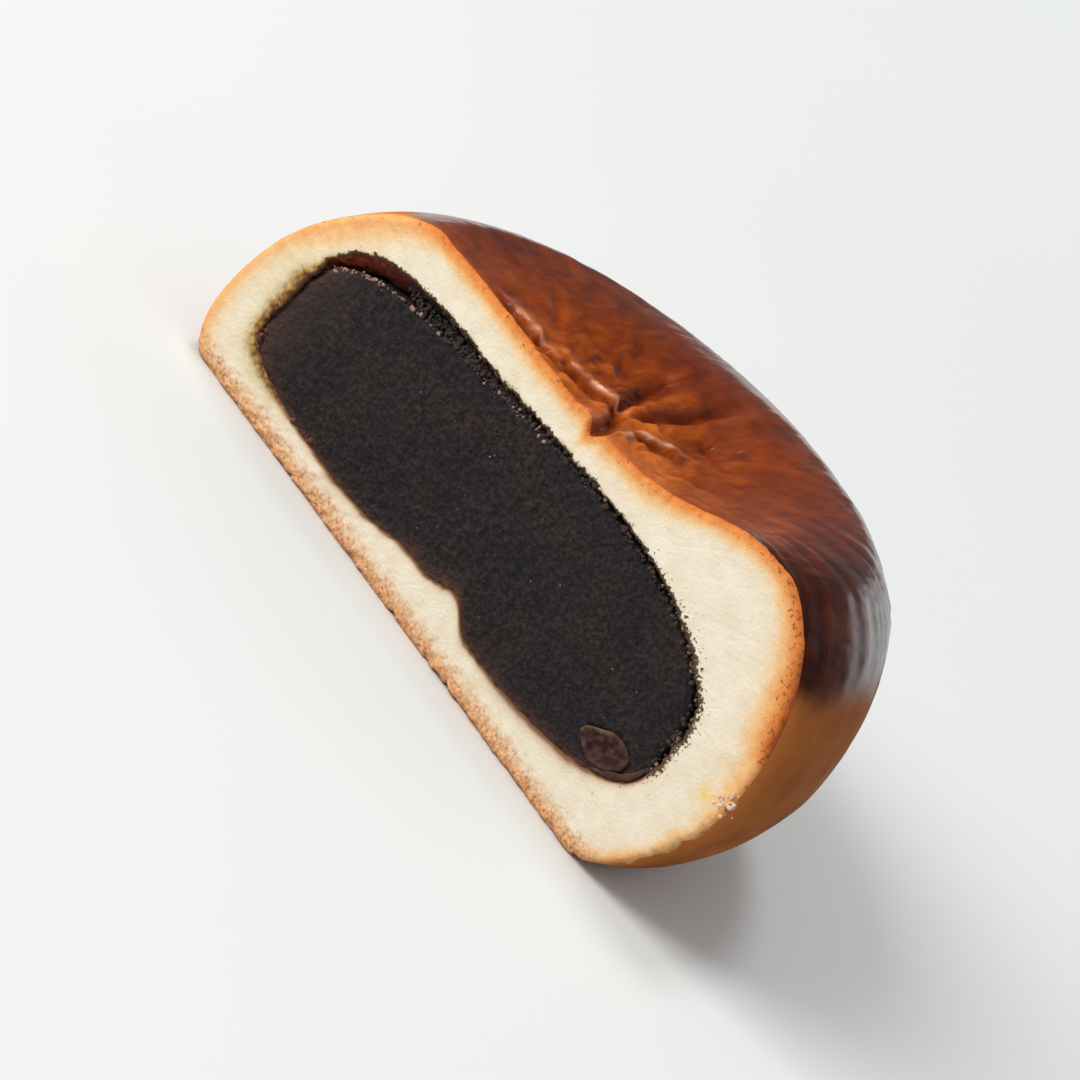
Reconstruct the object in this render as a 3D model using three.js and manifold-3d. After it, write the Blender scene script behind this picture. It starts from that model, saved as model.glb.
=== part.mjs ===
// An anpan, cut across with a knife: the larger piece of a round, flat bun filled with sweet bean paste.
// Millimetres, +Z up. The bun rests on its flat base at z = 0. The cut faces -Y, +X is the thicker end,
// and the origin is under the middle of the piece's box.

import * as THREE from 'three';
import { mergeVertices } from 'three/addons/utils/BufferGeometryUtils.js';
import Module from 'manifold-3d';

const wasm = await Module();
wasm.setup();

// The whole bun.
const bunRadius = 40;
const cutOffset = 7; // from the bun's middle to the cut, so the piece is more than half
const middleHeight = 30.3; // top of the crust over the bun's middle, before the folds
const roundnessLoss = 0.012; // how much shorter the radius is between the four main directions

// The bun rose unevenly, so its profile differs between two opposite sides. Runs are horizontal and rises
// vertical: the lengths of the handles that bend the outline round the bottom edge, the side and the crown.
const thickSide = {
  baseRadius: 30.3, edgeRun: 6.2, edgeRise: 4.3, widestHeight: 15.9,
  sideRise: 11.9, crownRun: 5.3, crownRadius: 27.4, crownHeight: 37,
};
const thinSide = {
  baseRadius: 36, edgeRun: 2.8, edgeRise: 4.6, widestHeight: 8.1,
  sideRise: 12.6, crownRun: 3.4, crownRadius: 26.2, crownHeight: 30.2,
};
const crownInwardRun = 10.6;
const middleRun = 17.5;

// Wrinkles that run out from the middle of the top, where the dough was gathered before it was baked.
const foldDepth = 1.1;
const foldReach = 6.5; // radius where the wrinkles are deepest
const foldCount = 7;
const foldUnevenness = 3; // slower wave that makes some wrinkles deeper than others
const foldEvenShare = 0.65; // share of the depth that the slower wave leaves alone
const foldWaveTurn = 1; // turn of the slower wave, in radians

// The hollow that the paste fills. Heights are given where the hollow's roof and floor are flat.
const hollowRadius = 33;
const hollowMiddleX = -1.3;
const hollowSquareness = 4.3; // exponent of the rounded outline: 2 is an ellipse, more is squarer
const widestMiddleHeight = 13.2;
const widestSlope = 0.15; // the widest level climbs towards the thick end
const roofHeight = 25.6;
const roofSwell = { height: 1.4, x: 9.3, spread: 15.8 };
const floorHeight = 4.8;
const floorSlope = 0.03;
const floorBump = { height: 2.6, x: 2.7, spread: 3.9, depth: 9 }; // crumb that pushes up into the paste

// The paste, and the air left over it at the thin end.
const meshGap = 0.3; // clearance between the two solids where paste and crumb touch
const airGap = 2.5;
const airGapStart = -22; // x up to which the paste stands a whole air gap away
const airGapEnd = 6; // x from which it touches the crumb
const endGap = 1.4; // air between the paste and the crumb at the thin end

// A bean left whole in the paste. The knife went through its middle.
const bean = { x: 25.6, height: 10.1, length: 6.4, width: 4.2, thickness: 3.6, tiltDegrees: 14 };

// Fineness of the faceted solids.
const bunSegments = 88;
const edgeSteps = 6;
const sideSteps = 8;
const topSteps = 11;
const hollowSegments = 64;
const hollowSteps = 18;
const beanSegments = 20;
const beanSteps = 12;
const mergeTolerance = 1e-4;

const knifeBoxMargin = 20; // how far the box of everything behind the cut reaches past the bun

const halfDepth = (cutOffset + bunRadius) / 2;
const cutY = -halfDepth;
const middleY = cutY + cutOffset;

const { lerp, smoothstep } = THREE.MathUtils;

function bell(distance, spread) {
  return Math.exp(-((distance / spread) ** 2));
}

// One side's outline, from the middle of the base out and over to the middle of the top.
function sideProfile(side) {
  const point = (radius, height) => new THREE.Vector2(radius, height);
  const edge = new THREE.CubicBezierCurve(
    point(side.baseRadius, 0),
    point(side.baseRadius + side.edgeRun, 0),
    point(bunRadius, side.widestHeight - side.edgeRise),
    point(bunRadius, side.widestHeight),
  );
  const flank = new THREE.CubicBezierCurve(
    point(bunRadius, side.widestHeight),
    point(bunRadius, side.widestHeight + side.sideRise),
    point(side.crownRadius + side.crownRun, side.crownHeight),
    point(side.crownRadius, side.crownHeight),
  );
  const top = new THREE.CubicBezierCurve(
    point(side.crownRadius, side.crownHeight),
    point(side.crownRadius - crownInwardRun, side.crownHeight),
    point(middleRun, middleHeight),
    point(0, middleHeight),
  );
  return [
    point(0, 0),
    ...edge.getPoints(edgeSteps),
    ...flank.getPoints(sideSteps).slice(1),
    ...top.getPoints(topSteps).slice(1),
  ];
}

// Depth of the gathered wrinkles at a radius and an angle from +X. They fade in and out along the radius.
function foldSink(radius, angle) {
  const along = (radius / foldReach) ** 2 * Math.exp(1 - (radius / foldReach) ** 2);
  const around = 0.5 + 0.5 * Math.cos(foldCount * angle);
  const wave = Math.cos(foldUnevenness * angle + foldWaveTurn);
  const uneven = lerp(wave, 1, foldEvenShare);
  return foldDepth * along * around ** 2 * uneven;
}

// The whole bun: a lathe form whose every vertex is moved to the mix of the thin and thick profiles that
// belongs to its direction.
function bunGeometry() {
  const thick = sideProfile(thickSide);
  const thin = sideProfile(thinSide);
  const geometry = new THREE.LatheGeometry(thin, bunSegments);
  const position = geometry.attributes.position;
  for (let vertex = 0; vertex < position.count; vertex += 1) {
    const step = vertex % thin.length;
    const segment = Math.floor(vertex / thin.length) % bunSegments;
    const angle = segment * 2 * Math.PI / bunSegments;
    const thickness = (1 + Math.cos(angle)) / 2;
    const roundness = 1 - roundnessLoss * Math.sin(2 * angle) ** 2;
    const radius = roundness * lerp(thin[step].x, thick[step].x, thickness);
    const onTop = step > 1 + edgeSteps + sideSteps;
    const sink = onTop ? foldSink(radius, angle) : 0;
    position.setXYZ(
      vertex,
      radius * Math.cos(angle),
      middleY + radius * Math.sin(angle),
      lerp(thin[step].y, thick[step].y, thickness) - sink,
    );
  }
  return geometry;
}

function hollowRoof(x) {
  return roofHeight + roofSwell.height * bell(x - roofSwell.x, roofSwell.spread);
}

function hollowFloor(x, y) {
  const bump = floorBump.height * bell(x - floorBump.x, floorBump.spread) * bell(y - cutY, floorBump.depth);
  return floorHeight + floorSlope * x + bump;
}

// A squarish rounded form between the hollow's floor and roof. The paste is the same form, a little smaller.
function hollowGeometry(isPaste) {
  const outline = [];
  for (let step = 0; step <= hollowSteps; step += 1) {
    const lift = Math.PI * (step / hollowSteps - 0.5);
    const power = 2 / hollowSquareness;
    const radius = step % hollowSteps === 0 ? 0 : Math.cos(lift) ** power;
    outline.push(new THREE.Vector2(radius, Math.sign(lift) * Math.abs(Math.sin(lift)) ** power));
  }
  const geometry = new THREE.LatheGeometry(outline, hollowSegments);
  const position = geometry.attributes.position;
  const clearance = isPaste ? meshGap : 0;
  for (let vertex = 0; vertex < position.count; vertex += 1) {
    const { x: radius, y: level } = outline[vertex % outline.length];
    const segment = Math.floor(vertex / outline.length) % hollowSegments;
    const angle = segment * 2 * Math.PI / hollowSegments;
    const thinEnd = Math.max(0, -Math.cos(angle)) ** 2;
    const reach = hollowRadius - clearance - (isPaste ? (endGap - meshGap) * thinEnd : 0);
    const x = hollowMiddleX + reach * radius * Math.cos(angle);
    const y = middleY + reach * radius * Math.sin(angle);
    const air = isPaste ? lerp(airGap, meshGap, smoothstep(x, airGapStart, airGapEnd)) : 0;
    const widest = widestMiddleHeight + widestSlope * x;
    const rise = hollowRoof(x) - air - widest;
    const drop = widest - hollowFloor(x, y) - clearance;
    position.setXYZ(vertex, x, y, widest + (level > 0 ? rise : drop) * level);
  }
  return geometry;
}

// A whole bean with its middle in the knife's path, grown by a clearance to make its pocket in the paste.
function beanGeometry(clearance) {
  const geometry = new THREE.SphereGeometry(1, beanSegments, beanSteps);
  geometry.scale(
    bean.length / 2 + clearance,
    bean.width / 2 + clearance,
    bean.thickness / 2 + clearance,
  );
  geometry.rotateY(-THREE.MathUtils.degToRad(bean.tiltDegrees));
  geometry.translate(bean.x, cutY, bean.height);
  return geometry;
}

// Everything behind the knife's path.
function behindCutGeometry() {
  const size = 2 * (bunRadius + knifeBoxMargin);
  const geometry = new THREE.BoxGeometry(size, size, size);
  geometry.translate(0, cutY + size / 2, 0);
  return geometry;
}

// A closed three.js geometry as a solid that can be joined and cut. Triangles that closed up at a pole go.
function toSolid(geometry) {
  geometry.deleteAttribute('normal');
  geometry.deleteAttribute('uv');
  const merged = mergeVertices(geometry, mergeTolerance);
  const index = merged.index.array;
  const kept = [];
  for (let corner = 0; corner < index.length; corner += 3) {
    const [a, b, c] = index.subarray(corner, corner + 3);
    if (a !== b && b !== c && c !== a) {
      kept.push(a, b, c);
    }
  }
  const mesh = new wasm.Mesh({
    numProp: 3,
    vertProperties: new Float32Array(merged.attributes.position.array),
    triVerts: new Uint32Array(kept),
  });
  return new wasm.Manifold(mesh);
}

function toMesh(name, solid, material) {
  const { vertProperties, triVerts } = solid.getMesh();
  const geometry = new THREE.BufferGeometry();
  geometry.setAttribute('position', new THREE.BufferAttribute(vertProperties, 3));
  geometry.setIndex(new THREE.BufferAttribute(triVerts, 1));
  geometry.computeVertexNormals();
  const mesh = new THREE.Mesh(geometry, material);
  mesh.name = name;
  return mesh;
}

const behindCut = toSolid(behindCutGeometry());

// Crust and crumb are one piece of baked dough, open at the cut.
const bread = toMesh(
  'bread',
  toSolid(bunGeometry()).intersect(behindCut).subtract(toSolid(hollowGeometry(false))),
  new THREE.MeshStandardMaterial({ color: 0xb8743f, roughness: 0.55, metalness: 0 }),
);

// The bean paste runs through the bun and shows at the cut.
const filling = toMesh(
  'filling',
  toSolid(hollowGeometry(true)).intersect(behindCut).subtract(toSolid(beanGeometry(meshGap))),
  new THREE.MeshStandardMaterial({ color: 0x2e2727, roughness: 0.8, metalness: 0 }),
);

const wholeBean = toMesh(
  'bean',
  toSolid(beanGeometry(0)).intersect(behindCut),
  new THREE.MeshStandardMaterial({ color: 0x432f2b, roughness: 0.6, metalness: 0 }),
);

const group = new THREE.Group();
group.add(bread, filling, wholeBean);

export default group;
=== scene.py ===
import math

import bpy
import numpy as np
from mathutils import Matrix, Vector
from numpy import cos, pi, sin


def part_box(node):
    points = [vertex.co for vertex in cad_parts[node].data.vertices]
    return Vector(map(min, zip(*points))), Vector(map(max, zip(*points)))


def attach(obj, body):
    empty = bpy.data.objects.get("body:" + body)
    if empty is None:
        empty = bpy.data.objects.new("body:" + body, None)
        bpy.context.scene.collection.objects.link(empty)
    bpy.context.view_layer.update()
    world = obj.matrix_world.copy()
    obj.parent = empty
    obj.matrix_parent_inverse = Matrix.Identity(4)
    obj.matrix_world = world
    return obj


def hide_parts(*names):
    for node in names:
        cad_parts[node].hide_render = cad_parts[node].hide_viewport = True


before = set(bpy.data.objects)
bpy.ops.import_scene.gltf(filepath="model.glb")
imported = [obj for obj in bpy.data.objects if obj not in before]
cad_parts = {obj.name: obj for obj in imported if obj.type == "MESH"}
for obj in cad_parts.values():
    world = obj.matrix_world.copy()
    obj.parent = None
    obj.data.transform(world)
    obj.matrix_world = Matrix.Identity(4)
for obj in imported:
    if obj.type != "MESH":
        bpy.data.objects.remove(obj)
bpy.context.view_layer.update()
print("frame loaded")

# Shapes are in millimetres, and toMesh turns them into metres.
mm = 0.001
breadBox = np.array(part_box("bread")) / mm
pasteBox = np.array(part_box("filling")) / mm
beanBox = np.array(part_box("bean")) / mm
cutY = breadBox[0, 1]  # the knife's plane
bunRadius = (breadBox[1, 0] - breadBox[0, 0]) / 2
middleY = breadBox[1, 1] - bunRadius  # the whole bun's middle lies behind the cut
rayHeight = 15  # rays run out to the surfaces from this height
topHeights = (24, 28.5)  # the wrinkled top sets in between these heights
noiseCells, poreCells = 32, 24  # the noises repeat after this many grains


def ease(value, low, high):
    # 3t^2 - 2t^3, where t runs from 0 at low to 1 at high. It falls where low is the greater
    t = np.clip((value - low) / (high - low), 0, 1)
    return t * t * (3 - 2 * t)


def bell(value, spread):
    # e^-(value / spread)^2
    return np.exp(-(value / spread) ** 2)


def split(points):
    return np.moveaxis(points, -1, 0)


def join(x, y, z):
    return np.stack(np.broadcast_arrays(x, y, z), axis=-1)


def circle(count):
    # angles evenly round a full turn
    return np.arange(count) / count * 2 * pi


def unit(vectors):
    # each vector over its own length
    return vectors / np.maximum(np.linalg.norm(vectors, axis=-1, keepdims=True), 1e-9)


def turned(first, second, angle):
    # a pair of coordinates after a turn from the first axis to the second
    return first * cos(angle) - second * sin(angle), first * sin(angle) + second * cos(angle)


def noise(points, grain, seed):
    # a random number from -1 to 1 at each corner of a cubic lattice of this grain, blended by 3t^2 - 2t^3
    table = np.random.default_rng(seed).uniform(-1, 1, (noiseCells,) * 3)
    cell = np.floor(points / grain).astype(int)
    part = points / grain - cell
    part = part * part * (3 - 2 * part)
    total = np.zeros(points.shape[:-1])
    for corner in np.ndindex(2, 2, 2):
        weight = np.prod(np.where(corner, part, 1 - part), axis=-1)
        total += weight * table[tuple(split((cell + corner) % noiseCells))]
    return total


def poreNoise(points, grain, seed):
    # distance in grains to the nearest of many scattered points, one in each cell of a cubic lattice
    jitter = np.random.default_rng(seed).uniform(0, 1, (poreCells,) * 3 + (3,))
    cell = np.floor(points / grain).astype(int)
    nearest = np.full(points.shape[:-1], 9)
    for offset in np.ndindex(3, 3, 3):
        spot = cell + np.array(offset) - 1
        pore = spot + jitter[tuple(split(spot % poreCells))]
        nearest = np.minimum(nearest, np.linalg.norm(points / grain - pore, axis=-1))
    return nearest


def toMesh(name, points, faces, material, marks=()):
    # marks are values at the points that the materials read
    mesh = bpy.data.meshes.new(name)
    mesh.from_pydata((points * mm).tolist(), [], faces)
    mesh.polygons.foreach_set("use_smooth", np.ones(len(mesh.polygons), bool))
    for mark, values in dict(marks).items():
        mesh.attributes.new(mark, "FLOAT", "POINT").data.foreach_set("value", values.astype(np.float32))
    mesh.materials.append(material)
    piece = bpy.data.objects.new(name, mesh)
    bpy.context.collection.objects.link(piece)
    return piece


def closedLoops(rows):
    # joins rows of points into one closed body, from a single point to a single point. A row may have twice
    # or half as many points as the one before it
    faces, start = [], 0
    for row, following in zip(rows, rows[1:]):
        counts = len(row), len(following)
        here = np.arange(min(counts) if min(counts) > 1 else max(counts))
        after = np.roll(here, -1)

        def corners(first, count, *ends):
            each = count // len(here)  # 0 for a single point
            along = [each * ends[0], 2 * here + 1, each * ends[1]]
            return [first + corner for corner in (along[:1], along[::2], along)[each]]

        sides = corners(start, counts[0], here, after)
        start += counts[0]
        faces += np.stack(sides + corners(start, counts[1], after, here), axis=1).tolist()
    return np.concatenate(rows), faces


# Runs are horizontal and rises vertical: the lengths of the handles that bend the outline.
bun = dict(
    thick=dict(base=30.3, edgeRun=6.2, edgeRise=4.3, widest=15.9,
               sideRise=11.9, crownRun=5.3, crownRadius=27.4, crown=37),
    thin=dict(base=36, edgeRun=2.8, edgeRise=4.6, widest=8.1,
              sideRise=12.6, crownRun=3.4, crownRadius=26.2, crown=30.2),
    crownInwardRun=10.6,
    middleRun=17.5,
    middleHeight=30.3,
    roundnessLoss=0.012,  # how much shorter the radius is between the four main directions
    outlineSteps=160,
)


def bezier(start, startHandle, endHandle, end):
    # (1-t)^3 start + 3 (1-t)^2 t startHandle + 3 (1-t) t^2 endHandle + t^3 end
    t = np.linspace(0, 1, bun["outlineSteps"])[:, None]
    a, b, c, d = (np.array(p, float) for p in (start, startHandle, endHandle, end))
    return (1 - t) ** 3 * a + 3 * (1 - t) ** 2 * t * b + 3 * (1 - t) * t ** 2 * c + t ** 3 * d


def sideTable(side):
    # one side's outline, as distance from the ray point by angle above the level
    base, edgeRun, edgeRise, widest, sideRise, crownRun, radius, crown = side.values()
    middle = bun["middleHeight"]
    floor = join(np.linspace(0, base, bun["outlineSteps"]), 0, 0)[:, :2]
    edge = bezier((base, 0), (base + edgeRun, 0), (bunRadius, widest - edgeRise), (bunRadius, widest))
    flank = bezier((bunRadius, widest), (bunRadius, widest + sideRise),
                   (radius + crownRun, crown), (radius, crown))
    top = bezier((radius, crown), (radius - bun["crownInwardRun"], crown),
                 (bun["middleRun"], middle), (0, middle))
    across, height = np.concatenate((floor, edge[1:], flank[1:], top[1:])).T
    return np.arctan2(height - rayHeight, across), np.hypot(across, height - rayHeight)


thickTable, thinTable = sideTable(bun["thick"]), sideTable(bun["thin"])


def bunPoint(loop, fromBack):
    # where a ray leaves the whole bun, whose outline mixes the two sides' by direction. loop turns about Y
    # from +X up, and fromBack opens from +Y
    flat, back, up = sin(fromBack) * cos(loop), cos(fromBack), sin(fromBack) * sin(loop)
    level = np.hypot(flat, back)
    rise = np.arctan2(up, level)
    thickness = 0.5 + 0.5 * flat / np.maximum(level, 1e-9)
    reach = thickness * np.interp(rise, *thickTable) + (1 - thickness) * np.interp(rise, *thinTable)
    roundness = 1 - bun["roundnessLoss"] * sin(2 * np.arctan2(back, flat)) ** 2
    height = np.maximum(reach * up + rayHeight, 0)
    return join(reach * flat * roundness, reach * back * roundness + middleY, height)


def cutAngle(loop):
    # the angle from +Y at which rays end at the cut, by halving
    low, high = np.full(loop.shape, 0.3), np.full(loop.shape, 2.9)
    for _ in range(40):
        mid = (low + high) / 2
        behind = bunPoint(loop, mid)[..., 1] > cutY
        low, high = np.where(behind, mid, low), np.where(behind, high, mid)
    return (low + high) / 2


# Each crease starts at x and at a distance behind the cut, and heads off in degrees from +X. Its far end lies
# bow millimetres to the left of that. The dough is pushed up on each side by a share of the depth.
# pale is the strength of a painted highlight drawn along the crease's ridges
creaseKeys = ("x", "behind", "heading", "length", "bow", "depth", "width", "left", "right", "pale")
creaseSizes = (
    (-2.3, 9.7, -52, 16, -8, 1.75, 0.8, 0.22, 0.5, 0.2),
    (-1, 8.2, 222, 10, -2, 1.45, 0.8, 0, 0.9, 1.2),
    (-7.6, 2.6, 187, 11, 0.5, 1, 0.75, 0, 0.75, 0.9),
    (-2.2, 9.6, 104, 13, -0.6, 1.3, 0.95, 0.15, 0.6, 0),
    (-0.3, 10.2, 86, 19, 0.5, 0.95, 0.85, 0.4, 0.6, 0),
    (2.2, 7.9, 44, 6.5, 0.4, 0.95, 0.7, 0.9, 0, 1.5),
    (1.6, 11.2, 66, 14, -1.6, 0.42, 0.95, 0.15, 0.1, 0),
    (2.6, 7.8, -78, 5, 0.4, 0.35, 0.7, 0, 1, 0.7),
    (-5.2, 11, 118, 13, -1.8, 0.55, 0.9, 0.4, 0, 0),
    (-7.4, 9, 104, 11, 0.8, 0.4, 0.8, 0, 0.4, 0),
    (5.4, 12.6, 58, 10, 1, 0.2, 0.9, 0.1, 0, 0),
    (-9.8, 0.6, 98, 5, 0.4, 0.5, 0.6, 0.6, 0, 0),
    (-16.8, 2, 100, 7, -0.8, 0.28, 0.6, 0.6, 0, 0),
    (6.6, 7, 40, 9, 0.8, 0.3, 0.8, 0.2, 0.2, 0),
    (-11.5, 6.5, 128, 10, 0.8, 0.35, 0.8, 0.5, 0.5, 0),
)
wrinkles = dict(
    starX=-0.8,  # where the dough was gathered
    starBehind=9,
    creases=[dict(zip(creaseKeys, row)) for row in creaseSizes],
    deepest=1.7,  # of creases that meet
    highest=0.85,
    streakDepth=0.12,
    streaks=((16, 1), (34, 0.6)),  # number and strength
    crinkleDepth=0.15,
    fineDepth=0.07,
    crinkleReach=13,  # how far they spread from the star
)


def creaseRelief(x, behind, crease, seed):
    # height across a parabola: a sharp valley, e^-(|d|/w)^1.4, and ridges that run out wider on the far side.
    # Both fade at the ends. The third value is a narrow line along the ridges, where a highlight is painted
    # pale into the glaze's colour
    along, aside = turned(x - crease["x"], behind - crease["behind"], -math.radians(crease["heading"]))
    along = along / crease["length"]
    flat = join(x, behind, seed)
    aside = (aside - crease["bow"] * along * np.abs(along)
             + 0.22 * noise(flat, 2.4, 13) + 0.08 * noise(flat, 1, 14))
    fade = ease(along, -0.12, 0.5 - 0.4 * min(crease["depth"], 1)) * ease(along, 1, 0.45)
    depth = crease["depth"] * fade * (0.85 + 0.4 * noise(flat, 3, 15))
    width = crease["width"] * (0.8 + 0.5 * np.clip(along, 0, 1))
    valley = np.exp(-(np.abs(aside) / width) ** 1.4)
    ridge, glintLine = 0, 0
    for side, share in ((1, crease["left"]), (-1, crease["right"])):
        across = aside * side - 1.5 * width
        ridge = ridge + share * bell(across, np.where(across < 0, 0.9, 1.7) * width)
        # a narrow line on each ridge's crest, where a highlight is painted into the colour
        glintLine = glintLine + min(share, 1) * bell(across + 0.1 * width, 0.32 * width)
    return depth * valley, depth * ridge, crease["pale"] * glintLine * fade * (0.7 + 0.9 * noise(flat, 0.9, 17))


def topRelief(points):
    # the creases' summed heights, held back by tanh, then crinkles, 3.2 |noise| - 1, with streaks that run
    # outwards, and the creases' lines of painted highlight
    x, behind = points[..., 0], points[..., 1] - cutY
    dx, dy = x - wrinkles["starX"], behind - wrinkles["starBehind"]
    radius, angle = np.hypot(dx, dy), np.arctan2(dy, dx)
    reliefs = [creaseRelief(x, behind, crease, k * 7.3) for k, crease in enumerate(wrinkles["creases"])]
    valleys, ridges, glintLines = (sum(heights) for heights in zip(*reliefs))
    highest, deepest = wrinkles["highest"], wrinkles["deepest"]
    creases = highest * np.tanh(ridges / highest) - deepest * np.tanh(valleys / deepest)
    streaks = sum(share * noise(join(cos(angle) * count, sin(angle) * count, radius * 0.12), 1, 11)
                  for count, share in wrinkles["streaks"])
    streaks = streaks * ease(radius, 8, 18) * (0.5 + 0.7 * ease(x, 14, 24))
    warped = points + join(*(noise(points, 3, seed) for seed in (20, 21, 22)))
    crinkles = 3.2 * np.abs(noise(warped * (1, 0.52, 0.7), 1.25, 12)) - 1
    fine = 3.2 * np.abs(noise(warped * (1, 0.7, 0.8), 0.62, 16)) - 1
    near = 0.2 + 0.8 * bell(radius, wrinkles["crinkleReach"])
    small = (wrinkles["streakDepth"] * streaks + wrinkles["crinkleDepth"] * crinkles * near
             + wrinkles["fineDepth"] * fine * near)
    return creases, small, glintLines


def crustRelief(points):
    # height over the plain form: broad unevenness, and wrinkles on top, calmer at the back. The base is flat
    x, y, z = split(points)
    broad = 0.28 * noise(points, 15, 1) + 0.1 * noise(points, 5.5, 2) + 0.025 * noise(points, 1.4, 3)
    offMiddle = np.hypot(x, y - middleY)
    onTop = ease(z, *topHeights) * ease(offMiddle, 39, 33)
    creases, small, _ = topRelief(points)
    calm = 1 - 0.75 * ease(offMiddle, 22, 32) * ease(x, 24, 14)
    return (broad + onTop * (creases + small * calm)) * ease(z, 0, 2.5)


bread = dict(
    columns=520,  # points round a row, and at the cut twice as many
    topDensity=2,  # how much closer they are over the top
    starDensity=3.6,  # and where the creases meet
    backRows=32,
    frontRows=62,
    poleShare=0.004,  # shares of the way from the back to the cut: the first row,
    frontStart=0.42,  # where the rows get closer,
    edgeStart=0.98,  # and where the finest rows start
    edgeRows=6,
    edgeRound=0.34,  # rounding of the crust's edge at the cut
    edgeReach=1.6,
    faceRows=19,
    hollowRows=4,  # rows of the hollow's wall near the cut, down to a share of its depth, and beyond
    hollowNearShare=0.15,
    hollowDeepRows=9,
    crumbRelief=0.03,
    waveRelief=0.12,
    grainRelief=0.2,
    poreDepth=0.07,
    spotX=36.6,  # a yellow spot in the crumb
    spotHeight=15.8,
)

hollow = dict(
    middleX=-1, reach=31.95,
    # squareness of the corners: 2 is an ellipse, more is squarer
    thickTop=3.4, thinTop=4.4, thinBase=3.2, thickBase=3.1,
    widest=11.6, widestSlope=0.088,
    roof=25, roofSlope=-0.014,
    floor=4.3, floorSlope=0.034,
    # height, x and spread of swellings
    roofSwell=(2.2, 14, 18.5),
    bump=(2.5, 3, 2.8),  # crumb that pushes up into the paste
    shelf=(1.7, -3.6, 5.6),  # and a lower rise beside it
    depth=pasteBox[1, 1] - cutY,
    backPower=2.6,
    closing=0.95,  # share of the air gap that closes behind the cut
    closingDepth=2.6,
)
hollowMiddle = np.array((hollow["middleX"], cutY, rayHeight))


def hollowOutline(loop, ofPaste=False):
    # distance from the ray point to the hollow's edge at the cut, by angle: a rounded box between a floor and
    # a roof. The paste's own edge is lower towards the thin end, and drawn in at both ends
    airGap, endGap = (paste["airGap"], paste["endGap"]) if ofPaste else (0, 0)
    turn = np.linspace(0, 2 * pi, 2401)
    flat, tall = cos(turn), sin(turn)
    top = np.where(flat > 0, hollow["thickTop"], hollow["thinTop"])
    base = np.where(flat > 0, hollow["thickBase"], hollow["thinBase"])
    power = 2 / np.where(tall > 0, top, base)
    thickGap = paste["thickGapShare"] * np.maximum(0, flat) ** 2 * ease(tall, -0.3, 0.1)
    thinGap = np.maximum(0, -flat) ** 2 * ease(tall, 0.35, 0.8)
    reach = hollow["reach"] - endGap * (thinGap + thickGap)
    x = hollow["middleX"] + reach * np.sign(flat) * np.abs(flat) ** power
    level = np.sign(tall) * np.abs(tall) ** power

    def swelling(name):
        height, place, spread = hollow[name]
        return height * bell(x - place, spread)

    widest = hollow["widest"] + hollow["widestSlope"] * x
    roof = hollow["roof"] + hollow["roofSlope"] * x + swelling("roofSwell")
    floor = hollow["floor"] + hollow["floorSlope"] * x + swelling("bump") + swelling("shelf")
    air = airGap * (1 - (1 - paste["topGapShare"]) * ease(x, paste["airFrom"], paste["airTo"]))
    z = widest + np.where(level > 0, roof - air - widest, widest - floor) * level - rayHeight
    around = np.mod(np.arctan2(z, x), 2 * pi)
    order = np.argsort(around)
    return np.interp(np.mod(loop, 2 * pi), around[order], np.hypot(x, z)[order], period=2 * pi)


def spokes(turn):
    # directions in the knife's plane, by angle from +X up
    return join(cos(turn), 0, sin(turn))


def outlinePoints(turn, reach, behind=0):
    # points by angle and distance from the ray point, this far behind the cut
    return join(reach * cos(turn), cutY + behind, rayHeight + reach * sin(turn))


def reachOf(points):
    return np.hypot(points[..., 0], points[..., 2] - rayHeight)


def evenAngles(fine, outline, count, density=1):
    # angles that divide an outline into equal lengths, or into shorter ones where density is greater
    steps = np.linalg.norm(np.diff(outline, axis=0), axis=1) * density
    length = np.concatenate(([0], np.cumsum(steps)))
    return np.interp(np.arange(count) / count * length[-1], length, fine)


def columnAngles(count):
    # loop angles evenly spaced along the cut's outline, and closer together over the wrinkled top
    fine = np.linspace(0, 2 * pi, 6001)
    outline = bunPoint(fine, cutAngle(fine))
    middle = (outline[1:] + outline[:-1]) / 2
    onTop = ease(middle[:, 2], 24, 28)
    onStar = onTop * ease(np.abs(middle[:, 0] + 2), 17, 11)
    density = 1 + (bread["topDensity"] - 1) * onTop + (bread["starDensity"] - bread["topDensity"]) * onStar
    return evenAngles(fine, outline, count, density)


def crustGrid(loop, share):
    # the crust's surface, by loop angle and share of the way from the back pole to the cut
    points = bunPoint(loop[None, :], share[:, None] * cutAngle(loop)[None, :])
    # the last stretch is squeezed, so that the crust ends a little behind the cut
    ahead = np.clip(1 - (points[..., 1] - cutY) / bread["edgeReach"], 0, 1)
    points[..., 1] += bread["edgeRound"] * ahead
    x, y, z = split(points)
    across = np.roll(points, -1, axis=1) - np.roll(points, 1, axis=1)
    normal = unit(np.cross(across, np.gradient(points, axis=0)))
    normal[0] = (0, 1, 0)
    normal[..., 1] *= ease(y, cutY, cutY + 1.2)
    moved = points + normal * crustRelief(points)[..., None]
    moved[..., 2] = np.maximum(moved[..., 2], 0)
    # pits along the underside's edge and flakes where the thick side tore
    nearCut = ease(y, cutY + 2.5, cutY)
    onBase = ease(z, 2.5, 0.2) * nearCut
    pits = np.maximum(0, 0.45 * noise(points, 0.9, 4) + 0.3 * noise(points, 0.45, 5))
    inward = unit(join(-moved[..., 0], 0, rayHeight - moved[..., 2]))
    torn = ease(x, 30, 33) * bell(z - 9.5, 5) * nearCut
    flaked = np.maximum(0, 0.1 + 0.5 * noise(points, 1.5, 6) + 0.3 * noise(points, 0.6, 7))
    return moved + inward * (pits * onBase)[..., None] - normal * (torn * flaked)[..., None]


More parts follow.
